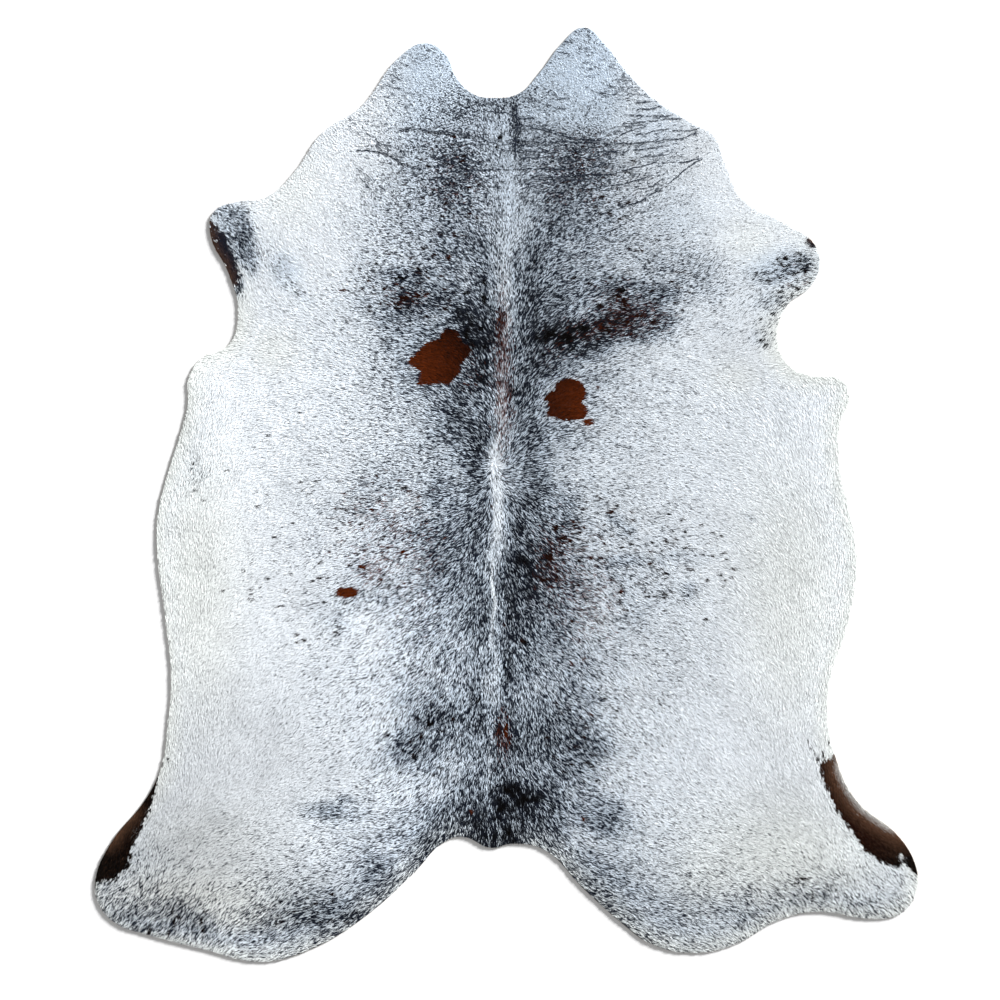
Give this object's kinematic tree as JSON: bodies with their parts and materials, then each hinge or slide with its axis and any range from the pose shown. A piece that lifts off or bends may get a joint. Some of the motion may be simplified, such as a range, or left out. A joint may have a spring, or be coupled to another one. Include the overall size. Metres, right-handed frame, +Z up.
{
  "type": "cowhide rug",
  "caption": "Whole cowhide rug with its short hair on, lying flat: white and grey pepper-and-salt coat with rust spots, trimmed to the neck, legs and flanks.",
  "frame": {"origin": "on the floor under the middle of the hide", "axes": "+Y from the tail towards the neck, +X across to the right seen from above, +Z up out of the hair"},
  "size_m": [1.9376, 2.2, 0.0056],
  "materials": {
    "hide": "tanned cowhide with its short hair on, white to blue-grey with black pepper and rust-brown spots, dull with a soft sheen; pale suede underneath"
  },
  "bodies": {
    "root": {"hide": "hide"}
  },
  "joints": []
}
